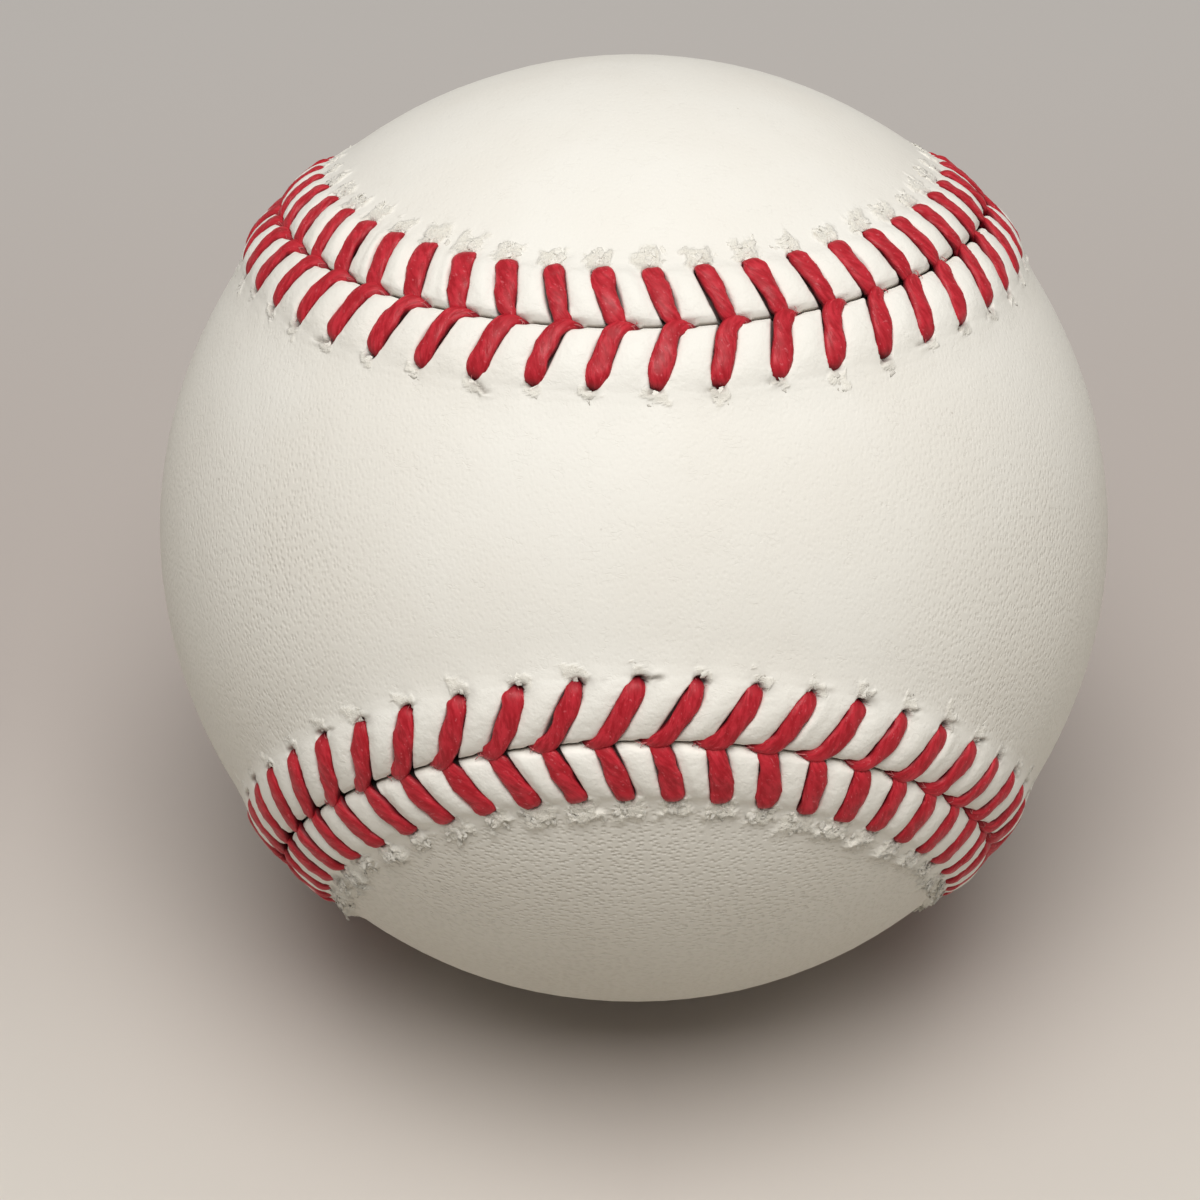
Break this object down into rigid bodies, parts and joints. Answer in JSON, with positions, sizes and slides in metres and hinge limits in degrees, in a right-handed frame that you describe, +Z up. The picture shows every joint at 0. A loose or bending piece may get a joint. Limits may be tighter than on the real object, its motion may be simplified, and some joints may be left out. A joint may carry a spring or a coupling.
{
  "type": "baseball",
  "caption": "Leather-covered ball for bat-and-ball games, with two figure-eight panels joined by a raised red double stitch over wound yarn.",
  "frame": {"origin": "centre of the ball", "axes": "+Z up; the ball rests on its lowest point at -Z; -Y is towards a viewer in front of the ball, whose view from raised front shows the narrow waist of the front panel; +X to that viewer's right"},
  "size_m": [0.0738, 0.0744, 0.074],
  "materials": {
    "cork": "pressed cork and rubber grains",
    "black_rubber": "moulded, matt",
    "red_rubber": "moulded, matt",
    "grey_wool": "wound wool yarn",
    "white_wool": "wound wool yarn",
    "cotton": "fine wound cotton",
    "cement": "thin tacky coat",
    "cover_leather": "white cowhide, fine grain, slightly satin",
    "waxed_thread": "waxed red cotton thread"
  },
  "bodies": {
    "root": {"cork_core": "cork", "black_cup_upper": "black_rubber", "black_cup_lower": "black_rubber", "gasket_upper": "red_rubber", "gasket_lower": "red_rubber", "red_cup_upper": "red_rubber", "red_cup_lower": "red_rubber", "grey_wool_inner": "grey_wool", "white_wool": "white_wool", "grey_wool_outer": "grey_wool", "cotton_winding": "cotton", "cement_coat": "cement", "cover_panel_front": "cover_leather", "cover_panel_back": "cover_leather", "thread_first": "waxed_thread", "thread_second": "waxed_thread"}
  },
  "joints": []
}
